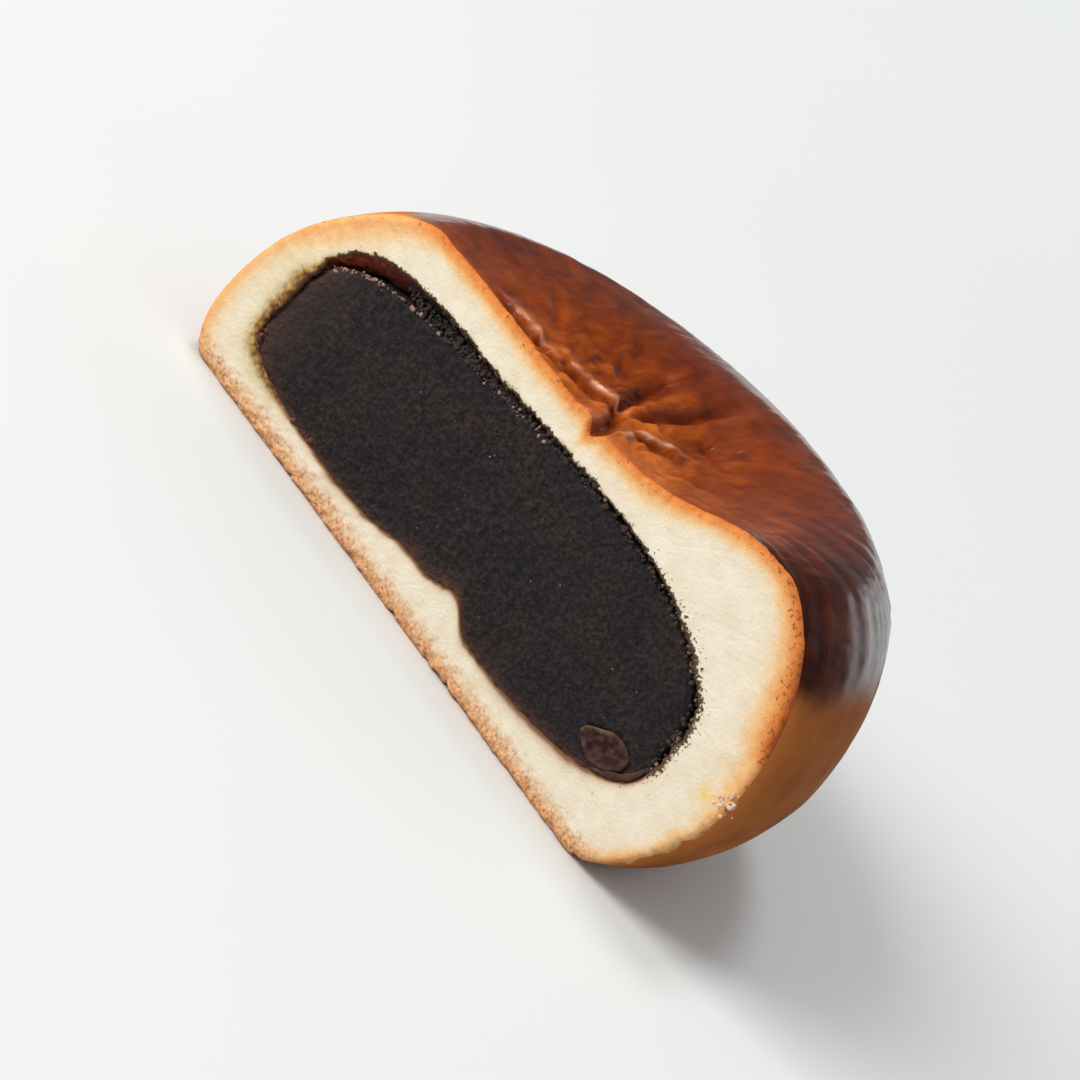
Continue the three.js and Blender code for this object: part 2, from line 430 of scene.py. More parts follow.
def knifeFace(loop, edge):
    # the crumb at the cut: spokes from the crust's edge to the hollow's ragged edge, edge (1 - s) + inner s,
    # with each point's depths from the crust and from the paste
    plain = bunPoint(loop, cutAngle(loop))
    turn = np.arctan2(plain[:, 2] - rayHeight, plain[:, 0])
    spoke = spokes(turn)
    inner = outlinePoints(turn, hollowOutline(turn))
    facing, innerFacing = spokeFacing(plain, spoke), spokeFacing(inner, spoke)
    onGap = ease(inner[:, 2], 12, 18)
    rag = (0.14 * noise(inner, 3.2, 30) + (0.14 + 0.06 * onGap) * noise(inner, 1.4, 31)
           + (0.1 + 0.15 * onGap) * noise(inner, 0.7, 32) + (0.05 + 0.12 * onGap) * noise(inner, 0.36, 33))
    inner = inner + spoke * rag[:, None]
    step = np.arange(1, bread["faceRows"] + 1)[:, None, None] / bread["faceRows"]
    step = (0.5 * step + 0.5 * (3 * step ** 2 - 2 * step ** 3)) ** 1.15
    face = edge * (1 - step) + inner * step
    face[..., 1] = cutY
    rimDepth = (reachOf(edge) - reachOf(face)) * facing
    pasteDepth = (reachOf(face) - reachOf(inner)) * innerFacing
    baseBand = bell(face[..., 2], 2.6) * ease(-spoke[:, 2], 0.05, 0.3)
    crumb = (bread["crumbRelief"] * (noise(face, 1.5, 41) + 0.8 * noise(face, 0.7, 42))
             + bread["waveRelief"] * noise(face, 9, 43))
    pores = (bread["poreDepth"] * ease(poreNoise(face, 1.5, 44), 0.4, 0.1)
             * ease(noise(face, 3, 45), -0.1, 0.6))
    grain = bread["grainRelief"] * (noise(face, 0.6, 46) + 0.5 * noise(face, 1.1, 49)) * baseBand
    roundOff = bread["edgeRound"] * (1 - np.clip(rimDepth / 0.6, 0, 1)) ** 2
    roundIn = 0.1 * ease(pasteDepth, 0.3, 0)
    face[..., 1] += crumb + pores + grain + roundOff + roundIn
    return face, turn, rimDepth, pasteDepth


def spokeFacing(outline, spoke):
    # how squarely each spoke meets a closed outline: 1 at a right angle
    tangent = unit(np.roll(outline, -4, axis=0) - np.roll(outline, 4, axis=0))
    return np.abs(spoke[:, 0] * tangent[:, 2] - spoke[:, 2] * tangent[:, 0])


def boxShrink(share):
    # how far a rounded box has closed in at a share of its depth: (1 - s^p)^(1/p)
    return (1 - share ** hollow["backPower"]) ** (1 / hollow["backPower"])


def hollowWall(rim, turn):
    # rows of the wall behind the cut, which slopes down to the paste, so that the gap closes a little way in
    sag = spokes(turn) * (hollowOutline(turn, True) - hollowOutline(turn))[:, None]
    step = np.arange(1, bread["hollowRows"] + 1) / bread["hollowRows"]
    nearShare = bread["hollowNearShare"]
    nearDepths = hollow["depth"] * step ** 1.5 * nearShare
    deepTurn = np.linspace(0, pi / 2, bread["hollowDeepRows"] + 2)[1:-1]
    deepDepths = hollow["depth"] * (nearShare + (1 - nearShare) * sin(deepTurn))
    rows = []
    for every, depths in ((1, nearDepths), (2, deepDepths)):
        for depth in depths:
            closed = hollow["closing"] * ease(depth, 0.2, hollow["closingDepth"])
            spoke = (rim + sag * closed)[::every] - hollowMiddle
            row = hollowMiddle + spoke * boxShrink(depth / hollow["depth"])
            row[:, 1] = cutY + depth
            ragged = 0.28 * noise(row, 1.6, 51) + 0.16 * noise(row, 0.7, 52)
            rows.append(row + unit(row - (hollowMiddle + (0, depth, 0))) * ragged[:, None])
    return rows + [hollowMiddle[None] + (0, hollow["depth"], 0)]


def crumbMarks(face, rimDepth, pasteDepth):
    # browning: e^-(d/w)^1.25 from the crust in, given at the crust too. stain: e^-(d/w) from the paste out.
    # specks: where paste was smeared. spot: a bell round the yellow spot
    x, _, z = split(face)
    # only the glazed top is browned to the full, and the lower thick side tore off pale
    baked = 0.58 + 0.32 * ease(z, 27, 30) * ease(x, -31, -26)
    baked = np.maximum(baked, ease(x, 30, 34) * ease(z, 18, 25))
    torn = ease(x, 31, 34) * bell(z - 11, 5.5)
    torn = torn * ease(noise(face, 1.6, 50) + 0.5 * noise(face, 0.6, 53), -0.5, 0.3)
    baked = baked * (1 - 0.35 * torn)
    # the browning reaches in most at the two ends, and least over the middle
    thickEnd = ease(x, 24, 34) * ease(z, 10, 20)
    thinEnd = 0.5 * ease(-x, 26, 34) + 1.5 * ease(-x, 21, 30) * ease(z, 13, 22)
    width = 1.4 + 1.3 * thickEnd + thinEnd + 0.25 * ease(z, 24, 28) + 0.22 * noise(face, 2.5, 47)
    # the stain is widest at the thin end
    atThinEnd = ease(-x, 23, 30)
    stainWidth = (0.42 + 0.7 * atThinEnd * ease(z, 19, 15) - 0.24 * ease(z, 14, 20)
                  + 0.3 * bell(x + 32.5, 3) * bell(z - 8, 5) + 0.16 * noise(face, 1.5, 48)
                  + 0.8 * atThinEnd * bell(z - 13.5, 4) * (1 + 0.6 * noise(face, 1, 56))
                  + 0.32 * bell(x - 21, 8) * ease(z, 10, 6))
    pasteDepth = np.maximum(pasteDepth, 0)
    spotAway = np.hypot(x - bread["spotX"], z - bread["spotHeight"]) + 0.4 * noise(face, 0.8, 55)
    return baked[0], {
        "browning": baked * np.exp(-(np.maximum(rimDepth, 0) / width) ** 1.25),
        "stain": np.exp(-pasteDepth / np.maximum(stainWidth, 0.06)),
        "specks": ease(z, 9, 14) * np.exp(-pasteDepth / (0.28 + 0.42 * ease(x, 12, 26))),
        "spot": bell(spotAway, 0.9),
    }


def breadRows():
    # rows of points from the back pole over the crust, across the cut face and in along the hollow's wall
    loop = columnAngles(2 * bread["columns"])
    pole, front, edgeStart = bread["poleShare"], bread["frontStart"], bread["edgeStart"]
    coarseShare = np.concatenate((np.linspace(pole, front, bread["backRows"], endpoint=False),
                                  np.linspace(front, edgeStart, bread["frontRows"])))
    fineShare = np.linspace(edgeStart, 1, bread["edgeRows"] + 1)[1:]
    coarse = crustGrid(loop[::2], coarseShare)
    fine = crustGrid(loop, np.concatenate((coarseShare[-2:], fineShare)))[2:]
    crust = [coarse[0].mean(axis=0, keepdims=True)] + list(coarse) + list(fine)
    face, turn, rimDepth, pasteDepth = knifeFace(loop, fine[-1])
    wall = hollowWall(face[-1], turn)

    # of the crumb's marks the crust has the browning at its edge, and the wall the stain, which darkens
    # inwards, least at the thin end, where the crumb is only soaked
    crustPoints = sum(len(row) for row in crust)
    edgeBrowning, marks = crumbMarks(face, rimDepth, pasteDepth)
    x, y, z = split(np.concatenate(wall))
    marks = {name: np.concatenate((np.zeros(crustPoints), values.ravel(), np.zeros(len(x))))
             for name, values in marks.items()}
    marks["browning"][crustPoints - len(loop):crustPoints] = edgeBrowning
    soaked = ease(-x, 28, 31) * ease(z, 20, 14)
    marks["stain"][-len(x):] = 1.02 + np.clip((y - cutY) / 2.2 + 0.6 * (1 - soaked), 0, 1)
    return crust + list(face) + wall, crustPoints, marks


def crustMarks(points):
    # glaze: where the top was brushed. toast: warm near the star, orange at the cut, dark on the thick end.
    # rise: height of the wrinkles. paintedGlint: lines of painted highlight beside the creases. gloss:
    # weakest in the top's middle. ragged: where the side tore. cutEdge: nearness to the cut. sideEdgeGlow:
    # nearness to the cut, for painted light on the side
    x, y, z = points.T
    behind = y - cutY
    lean = x / np.maximum(np.hypot(x, y - middleY), 1e-6)
    rim = 27 + 3 * np.maximum(0, lean) + (1.8 - 3 * ease(behind, 1, 7)) * np.maximum(0, -lean)
    brush = 0.9 * noise(points * (1, 1, 0.25), 3, 61) + 0.45 * noise(points * (1, 1, 0.2), 0.9, 62)
    blur = ease(x, 10, 30)
    glaze = ease(z - rim + brush, -1.2 - 0.8 * blur, 1 + 1 * blur)
    patch = noise(points, 6, 63) + 0.5 * noise(points, 2.2, 64)
    streak = noise(points * (1, 0.28, 0.5), 0.9, 65) + 0.6 * noise(points * (1, 0.3, 0.5), 0.45, 66)
    edge = ease(x, 15, 20) * bell(behind, 3)
    warm = bell(x - 2, 20) * bell(behind - 3, 19)
    orange = bell(x - 9, 6.5) * bell(behind - 1, 7)
    shade = ease(x, 18, 30) * (1 - 0.7 * ease(behind, 12, 26))
    toast = (0.25 + 0.5 * warm + 0.26 * orange + 0.08 * bell(behind, 2) + 0.09 * patch - 0.4 * shade
             + 0.13 * streak * (0.4 + 0.6 * warm) - 0.24 * edge)
    creases, small, glintLines = topRelief(points)
    glintLines, onTop = np.clip(glintLines, 0, 1), ease(z, *topHeights)
    # this height also tints the glaze: valleys darker, partly pooled glaze and partly painted shade, ridges
    # lighter as painted light
    rise = np.clip(creases, -1.3, 0.7) + 2.6 * np.clip(small, -0.4, 0.4)
    gloss = 0.04 + 0.96 * (1 - bell(x + 6, 20) * bell(behind - 9, 22))
    gloss = gloss * (1 - 0.85 * ease(x, 16, 24) * ease(behind, 14, 3))
    # the lines along the ridges are painted highlights, and the side's band next to the cut is painted light
    return {
        "glaze": glaze, "toast": np.clip(toast, 0, 1), "rise": rise * onTop, "paintedGlint": glintLines * onTop,
        "gloss": np.clip(gloss + 0.7 * glintLines, 0, 1) * ease(-creases, 0.4, 0),
        "ragged": ease(x, 30, 34) * bell(z - 10, 6) * bell(behind, 0.9),
        "cutEdge": bell(behind, 0.8) * (1 - edge), "sideEdgeGlow": bell(behind, 2.4),
    }


def makeBread():
    rows, crustPoints, marks = breadRows()
    points, faces = closedLoops(rows)
    marks.update(crustMarks(points))
    piece = toMesh("bread_baked", points, faces, newMaterial("crust_glazed", crustLook), marks)
    piece.data.materials.append(newMaterial("crumb_cream", crumbLook))
    isCrumb = np.array([max(face) for face in faces]) >= crustPoints
    piece.data.polygons.foreach_set("material_index", isCrumb.astype(np.int32))
    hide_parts("bread")
    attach(piece, "root")


paste = dict(
    columns=600,
    faceRows=84,
    sideRows=14,
    airGap=3.1,  # air over the paste at the thin end
    airFrom=-34,
    airTo=2,
    topGapShare=0.25,  # what is left of it over the rest of the paste
    endGap=0.75,
    thickGapShare=1.1,  # the gap at the thick end against the one at the thin end
    sunk=0.1,  # how far the cut paste lies behind the knife's plane
    lean=0.35,  # and how much further at the thin end
    overlap=0.16,  # it presses into the crumb a little
    backGap=0.6,
    relief=0.13,
    edgeRound=0.5,
    beanDent=0.8,  # the paste gives way behind the bean
    middleDrop=0.5,  # how far the face's middle lies under the ray point
)


def leanBack(x):
    return paste["lean"] * ease(-x, 16, 33)


def pasteRows():
    # rows of points from the middle of the cut face to its edge, middle (1 - s) + edge s, and on to the back
    # pole, with the fringe: how near the face is to the crumb below it and at the thin end, e^-(d / 0.8)
    fine = np.linspace(0, 2 * pi, 4001)
    reach = hollowOutline(fine, True) + paste["overlap"]
    loop = evenAngles(fine, spokes(fine) * reach[:, None], paste["columns"])
    rim = outlinePoints(loop, np.interp(loop, fine, reach))
    rag = 0.12 * noise(rim, 3.2, 30) + 0.18 * noise(rim, 0.9, 71) + 0.12 * noise(rim, 0.4, 72)
    rim = rim + spokes(loop) * rag[:, None]
    middle = np.array((0, cutY, rayHeight - paste["middleDrop"]))
    step = np.arange(1, paste["faceRows"] + 1)[:, None] / paste["faceRows"]
    face = middle + (rim - middle) * step[..., None]
    edgeDistance = (1 - step) * np.linalg.norm(rim - middle, axis=1)
    x, _, z = split(face)
    grain = paste["relief"] * (noise(face, 0.55, 73) + 0.7 * noise(face, 1.6, 74)) + 0.16 * noise(face, 7, 75)
    along, across = turned(x - beanMiddle[0], z - beanMiddle[2], -beanTilt)
    fromBean = np.hypot(along / (bean["length"] / 2), across / (bean["thickness"] / 2))
    dent = paste["beanDent"] * ease(fromBean, 0.98, 0.72)
    upper = 0.1 + 0.9 * ease(z, 9, 17)
    rounding = paste["edgeRound"] * upper * ease(edgeDistance, 0.9, 0) ** 2
    face[..., 1] += paste["sunk"] + leanBack(x) + grain + dent + rounding
    depth = hollow["depth"] - paste["backGap"]
    side = []
    for back in depth * sin(np.linspace(0, pi / 2, paste["sideRows"] + 2)[1:-1]) ** 1.5:
        row = hollowMiddle + (face[-1] - hollowMiddle) * boxShrink(back / depth) * 0.995
        row[:, 1] = cutY + paste["edgeRound"] + back
        side.append(row)
    side.append(hollowMiddle[None] + (0, depth + paste["edgeRound"], 0))
    low = np.exp(-edgeDistance / 0.8) * np.maximum(ease(12 - z, 0, 4), 0.6 * ease(-x, 29, 31))
    fringe = [np.zeros(1)] + list(low) + [np.zeros(len(row)) for row in side]
    return [middle[None] + (0, paste["sunk"], 0)] + list(face) + side, fringe


def makePaste():
    rows, fringe = pasteRows()
    points, faces = closedLoops(rows[::-1])  # from the back, so that the faces point outwards
    piece = toMesh("bean_paste", points, faces, newMaterial("paste_dark", pasteLook),
                   {"fringe": np.concatenate(fringe[::-1])})
    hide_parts("filling")
    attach(piece, "root")


bean = dict(
    length=6.4,
    thickness=3.6,
    width=4.2,
    tilt=14,
    columns=96,
    backRows=14,
    faceRows=18,
    skin=0.1,  # how far the skin stands out round the cut
    sunk=0.05,  # and how far the middle is sunk
    behind=0.1,
    unevenness=1.1,
    stripWidth=1,  # the loose skin that runs on along the edge of the paste
    stripThickness=0.44,
    stripTurns=(-15.5, -5),  # its two ends, by degrees round the ray point
    stripColumns=40,
    stripRing=12,
)
beanMiddle, beanTilt = beanBox.mean(axis=0), math.radians(bean["tilt"])


def makeBean():
    # half an ellipsoid behind the cut, and a face with a raised skin round a slightly sunken middle
    turn = circle(bean["columns"])
    opening = np.linspace(0, pi / 2, bean["backRows"] + 1)[1:]
    share = 1 - np.arange(1, bean["faceRows"]) / bean["faceRows"]
    size = np.concatenate((sin(opening), share))
    depth = np.concatenate((cos(opening) * bean["width"] / 2, np.zeros(len(share))))
    front = -bean["skin"] * bell(size - 0.93, 0.07) + bean["sunk"] * ease(size, 0.9, 0.6)
    front[:bean["backRows"] - 1] = 0
    along = size[:, None] * cos(turn) * bean["length"] / 2
    across = size[:, None] * sin(turn) * bean["thickness"] / 2
    dx, dz = turned(along, across, beanTilt)
    grid = join(beanMiddle[0] + dx, (cutY + bean["behind"] + depth + front)[:, None], beanMiddle[2] + dz)
    outward = (grid - beanMiddle) / bean["length"]
    grid = grid + outward * bean["unevenness"] * noise(grid, 1.7, 81)[..., None]
    grid[..., 1] += 0.26 * noise(grid, 0.8, 82) + 0.12 * noise(grid, 0.35, 84)
    tip, end = (np.array([(beanMiddle[0], cutY + back, beanMiddle[2])])
                for back in (bean["width"] / 2, bean["sunk"] + 0.06))
    points, faces = closedLoops([tip, *grid, end])
    upperLeft = 0.15 + 0.85 * (0.5 + 0.5 * cos(turn - math.radians(135))) ** 1.5
    skin = np.concatenate(((1,), (ease(size, 0.7, 0.88)[:, None] * upperLeft).ravel(), (0,)))
    piece = toMesh("bean_whole", points, faces, newMaterial("bean_cooked", beanLook), {"skin": skin})
    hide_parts("bean")
    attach(piece, "root")


def makeBeanSkin():
    # a flattened tube along the lower edge of the paste, from the bean's end towards the thick side. Its
    # width follows the root of 1 - s^4
    count = bean["stripColumns"]
    turn = np.radians(np.linspace(*bean["stripTurns"], count))[::-1]
    reach = hollowOutline(turn) - 0.5
    path = join(reach * cos(turn), 0, rayHeight + reach * sin(turn))
    ahead = unit(np.gradient(path, axis=0))
    side = join(ahead[:, 2], 0, -ahead[:, 0])[:, None]
    swell = np.sqrt(np.clip(1 - np.linspace(-1, 1, count) ** 4, 0, 1)) * (0.8 + 0.3 * noise(path, 1, 83))
    swell = swell[:, None, None]
    ring = circle(bean["stripRing"])[:, None]
    rows = (path[:, None] + side * bean["stripWidth"] / 2 * swell * cos(ring)
            + np.array((0, 1, 0)) * bean["stripThickness"] / 2 * swell * sin(ring))
    rows, path = rows + (0, cutY + 0.05, 0), path + (0, cutY + 0.05, 0)
    points, faces = closedLoops([path[:1]] + list(rows[1:-1]) + [path[-1:]])
    piece = toMesh("bean_skin", points, faces, bpy.data.materials["bean_cooked"],
                   {"skin": np.full(len(points), 0.35)})
    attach(piece, "root")


lump = dict(columns=8, rings=4, unevenness=0.45)

# smallest and largest size, seed, display colour, finish and slot of each kind
crumbs = {
    "paste_crumbs": (0.05, 0.27, 91, (174, 138, 124), "crumbs_pinkish", "bean_paste"),
    "skin_bits": (0.1, 0.42, 97, (118, 70, 60), "bits_reddish", "bean"),
    "bread_crumbs": (0.06, 0.3, 92, (150, 116, 84), "crumbs_tan", "bread"),
    "paste_lumps": (0.1, 0.34, 96, (62, 48, 42), "lumps_dark", "bean_paste"),
    "gap_grit": (0.09, 0.3, 99, (62, 50, 42), "grit_dark", "bean_paste"),
    "paste_specks": (0.04, 0.14, 93, (92, 70, 52), "specks_dark", "bean_paste"),
    "paste_grains": (0.04, 0.12, 95, (150, 134, 124), "grains_pale", "bean_paste"),
    "torn_crumbs": (0.08, 0.34, 94, (250, 218, 196), "crumbs_cream", "bread"),
}


def makeLumps(name, places, rng):
    # small balls of uneven radius as one mesh, each squashed and turned its own way. Most are small:
    # smallest + (largest - smallest) u^2.5
    smallest, largest, seed, colour, finish, slot = crumbs[name]
    count = len(places)
    sizes = smallest + (largest - smallest) * rng.uniform(0, 1, count) ** 2.5
    turn = circle(lump["columns"])
    lift = np.arange(1, lump["rings"] + 1) / (lump["rings"] + 1) * pi
    rings = [join(sin(a) * cos(turn), cos(a), sin(a) * sin(turn)) for a in lift]
    pole = np.array(((0, 1, 0),))
    points, faces = closedLoops([pole] + rings + [-pole])
    shapes = np.random.default_rng(seed)
    radius = 1 + lump["unevenness"] * noise(points + shapes.uniform(0, 30, (count, 1, 3)), 0.8, seed)
    x, y, z = split(points * radius[..., None] * shapes.uniform(0.6, 1.2, (count, 1, 3)))
    x, z = turned(x, z, shapes.uniform(0, 2 * pi, count)[:, None])
    lumps = (join(x, y, z) * sizes[:, None, None] + places[:, None]).reshape(-1, 3)
    starts = (np.arange(count) * len(points)).tolist()
    allFaces = [[corner + start for corner in face] for start in starts for face in faces]
    piece = toMesh(name, lumps, allFaces, newMaterial(finish, lumpLook, colour))
    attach(piece, "root")


def anglesIn(rng, *stretches):
    # random angles, so many between a low and a high one in each stretch
    return np.concatenate([rng.uniform(*stretch) for stretch in stretches])


def gapReach(turn, share):
    # distance from the ray point at a share of the way from the paste to the crumb
    own = hollowOutline(turn, True)
    return own + (hollowOutline(turn) - own) * share


def makeCrumbs():
    rng = np.random.default_rng(90)
    # pale crumbs along the paste's own upper edge, close together at the thin end
    turn = math.pi - anglesIn(rng, (0.06, 0.36, 110), (0.36, 0.42, 14), (0.4, 1.5, 34))
    places = outlinePoints(turn, gapReach(turn, 0) + rng.normal(-0.15, 0.2, len(turn)), 0.3)
    places[:, 1] += leanBack(places[:, 0])
    makeLumps("paste_crumbs", places, rng)

    # reddish bits of bean skin along its lower edge at the thin end
    turn = math.pi + anglesIn(rng, (0.2, 0.34, 14), (0.42, 0.5, 16))
    reach = gapReach(turn, 0) + rng.normal(-0.3, 0.25, len(turn))
    makeLumps("skin_bits", outlinePoints(turn, reach, 0.15), rng)

    # crumbs of bread in the narrow gap at the thick end and along the wide one's ragged edge
    turn = anglesIn(rng, (-0.12, 0.5, 60), (0.5, 2.9, 40))
    reach = gapReach(turn, 1) + rng.normal(-0.22, 0.2, len(turn))
    makeLumps("bread_crumbs", outlinePoints(turn, reach, 0.4), rng)

    # loose bits of paste in the gap, which leave both its edges rough
    turn = rng.uniform(-0.1, math.pi - 0.25, 520)
    reach = gapReach(turn, rng.choice((0, 1), len(turn))) + rng.normal(0, 0.16, len(turn))
    makeLumps("paste_lumps", outlinePoints(turn, reach, 0.35), rng)

    # a slope of loose paste that fills most of the gap and leans back as it rises
    grit = np.random.default_rng(98)
    turn = anglesIn(grit, (1, 2.1, 900), (2.1, 2.82, 1900))
    rise = grit.uniform(0, 1, len(turn))
    behind = 0.4 + 1.4 * rise + grit.uniform(0, 0.7, len(turn))
    makeLumps("gap_grit", outlinePoints(turn, gapReach(turn, rise), behind), grit)

    # specks of paste that the knife smeared over the crumb, most at the thick end
    turn = rng.normal(0.35, 0.28, 70)
    reach = gapReach(turn, 1) + np.abs(rng.normal(0, 0.7, len(turn))) + 0.05
    makeLumps("paste_specks", outlinePoints(turn, reach, 0.08), rng)

    # pale grains in the cut paste
    places = rng.uniform(-1, 1, (60, 3)) * (27, 0, 8) + (-1, cutY + 0.12, 14.5)
    places[:, 1] += leanBack(places[:, 0])
    makeLumps("paste_grains", places, rng)

    # shreds of crumb where the thick side tore
    places = (38.6, cutY + 0.1, 17.3) + rng.normal(0, 1, (44, 3)) * (0.5, 0.08, 0.7)
    makeLumps("torn_crumbs", places, rng)


def shade(colour):
    # a display colour, with three values up to 255, as a linear one. Anything else stays as it is
    if not isinstance(colour, tuple) or len(colour) != 3:
        return colour
    values = np.array(colour) / 255
    linear = np.where(values <= 0.04045, values / 12.92, ((values + 0.055) / 1.055) ** 2.4)
    return (*linear.tolist(), 1)


def grey(value):
    return (value, value, value, 1)


def feed(node, inputs):
    # links the inputs that are given a socket, and sets the others
    for key, value in inputs.items():
        if isinstance(value, bpy.types.NodeSocket):
            node.id_data.links.new(value, node.inputs[key])
        else:
            node.inputs[key].default_value = value
    return node


def newMaterial(name, look, *given):
    # look builds the nodes and gives the shader's inputs
    material = bpy.data.materials.new(name)
    material.use_nodes = True
    tree = material.node_tree
    feed(tree.nodes["Principled BSDF"], look(tree, *given))
    return material


def add(tree, kind, inputs=None, **settings):
    node = tree.nodes.new("ShaderNode" + kind)
    for key, value in settings.items():
        setattr(node, key, value)
    return feed(node, inputs or {})


def treeOf(*values):
    # the node tree of the first socket among the values
    return next(value.id_data for value in values if isinstance(value, bpy.types.NodeSocket))


def maths(operation, first, second, clamp=False):
    inputs = {0: first, 1: second}
    return add(treeOf(first, second), "Math", inputs, operation=operation, use_clamp=clamp).outputs[0]


def times(first, second):
    return maths("MULTIPLY", first, second)


def plus(first, second):
    return maths("ADD", first, second)


def mix(factor, first, second, blend="MIX"):
    inputs = {0: factor, 6: shade(first), 7: shade(second)}
    return add(treeOf(factor, first, second), "Mix", inputs, data_type="RGBA", blend_type=blend).outputs[2]


def between(value, low, high, toLow=0, toHigh=1, way="LINEAR"):
    # runs from toLow where the value is low to toHigh where it is high
    inputs = {"Value": value, "From Min": low, "From Max": high, "To Min": toLow, "To Max": toHigh}
    return add(value.id_data, "MapRange", inputs, interpolation_type=way).outputs["Result"]


def ramp(factor, *stops):
    # a blend of colours along the factor. Each stop is a place and a colour
    node = add(factor.id_data, "ValToRGB", {"Fac": factor})
    elements = node.color_ramp.elements
    while len(elements) > 1:
        elements.remove(elements[-1])
    elements[0].position, elements[0].color = stops[0][0], shade(stops[0][1])
    for position, colour in stops[1:]:
        elements.new(position).color = shade(colour)
    return node.outputs["Color"]


def mark(tree, name):
    return add(tree, "Attribute", attribute_name=name).outputs["Fac"]


def objectPlace(tree):
    return add(tree, "TexCoord").outputs["Object"]


def placeAlong(tree):
    return add(tree, "SeparateXYZ", {"Vector": objectPlace(tree)}).outputs


def bump(strength, distance, height):
    inputs = {"Strength": strength, "Distance": distance, "Height": height}
    return add(height.id_data, "Bump", inputs).outputs["Normal"]


def makeGroup(name, inputs, output):
    # a node group with one output. inputs give names, kinds and usual values
    group = bpy.data.node_groups.new(name, "ShaderNodeTree")
    for label, kind, value in inputs:
        socket = group.interface.new_socket(label, in_out="INPUT", socket_type="NodeSocket" + kind)
        socket.default_value = value
    group.interface.new_socket(output, in_out="OUTPUT", socket_type="NodeSocketFloat")
    return group, group.nodes.new("NodeGroupInput").outputs, group.nodes.new("NodeGroupOutput")


def makePatches():
    # soft noise from 0 to 1 in the piece's own frame, Scale patches per metre
    inputs = (("Scale", "Float", 500), ("Detail", "Float", 3), ("Stretch", "Vector", (1, 1, 1)))
    group, given, result = makeGroup("patches", inputs, "Value")
    place = add(group, "Mapping", {"Vector": objectPlace(group), "Scale": given["Stretch"]}).outputs["Vector"]
    soft = add(group, "TexNoise", {"Vector": place, "Scale": given["Scale"], "Detail": given["Detail"],
                                   "Roughness": 0.55})
    feed(result, {"Value": soft.outputs["Fac"]})


def makeSpecks():
    # a mask of small specks, more where Amount is greater: noise + Amount / 2 against a narrow step
    group, given, result = makeGroup("specks", (("Scale", "Float", 2000), ("Amount", "Float", 0)), "Mask")
    raised = plus(mottle(group, given["Scale"]), times(given["Amount"], 0.5))
    feed(result, {"Mask": between(raised, 0.7, 0.78)})


def mottle(tree, scale, detail=3, stretch=(1, 1, 1)):
    inputs = {"Scale": scale, "Detail": detail, "Stretch": stretch}
    return add(tree, "Group", inputs, node_tree=bpy.data.node_groups["patches"]).outputs["Value"]


def ripple(tree, scale, detail, height):
    # the same noise round zero: (noise - 0.5) height
    return times(maths("SUBTRACT", mottle(tree, scale, detail), 0.5), height)


def speckle(scale, amount):
    inputs = {"Scale": scale, "Amount": amount}
    return add(amount.id_data, "Group", inputs, node_tree=bpy.data.node_groups["specks"]).outputs["Mask"]


def crustLook(tree):
    glaze, cutEdge = mark(tree, "glaze"), mark(tree, "cutEdge")
    side = ramp(mottle(tree, 180, 5), (0.3, (150, 84, 38)), (0.52, (168, 98, 46)), (0.72, (182, 112, 57)))
    # painted light: the side turns lighter orange next to the cut, standing in for light shining through the
    # thin crust edge
    side = mix(times(mark(tree, "sideEdgeGlow"), 0.7), side, (222, 136, 66))
    side = mix(cutEdge, side, (232, 160, 94))
    torn = times(mark(tree, "ragged"), 1.1)
    torn = times(speckle(900, torn), maths("GREATER_THAN", torn, 0.05))
    side = mix(torn, side, (226, 178, 120))
    # the wrinkles' height tints the glaze: darker in the valleys, partly glaze pooled there and partly
    # painted shade, and lighter on the ridges, which is painted light
    warmth = plus(plus(mark(tree, "toast"), ripple(tree, 420, 5, 0.44)), times(mark(tree, "rise"), 0.34))
    top = ramp(warmth, (0, (54, 20, 12)), (0.25, (96, 36, 13)), (0.5, (128, 52, 10)), (0.75, (156, 71, 11)),
               (1, (190, 98, 32)))
    # painted highlights: pale lines along the creases' ridges
    top = mix(times(mark(tree, "paintedGlint"), 0.9), top, (238, 176, 142))
    top = mix(times(cutEdge, 0.35), top, (202, 106, 40))
    # seen edge-on the glaze always shines, like any smooth skin
    edgeOn = between(add(tree, "LayerWeight").outputs["Facing"], 0.58, 0.9, 0, 0.8, "SMOOTHSTEP")
    shine = maths("MAXIMUM", times(mark(tree, "gloss"), 0.8), edgeOn)
    return {
        "Base Color": mix(glaze, side, top), "Specular IOR Level": 0.04,
        "Roughness": maths("SUBTRACT", 0.62, times(glaze, 0.22)),
        "Coat Weight": times(glaze, shine), "Coat Roughness": 0.2,
        "Normal": bump(0.45, 0.0003, mottle(tree, 1100, 5, (1, 0.5, 1))),
    }


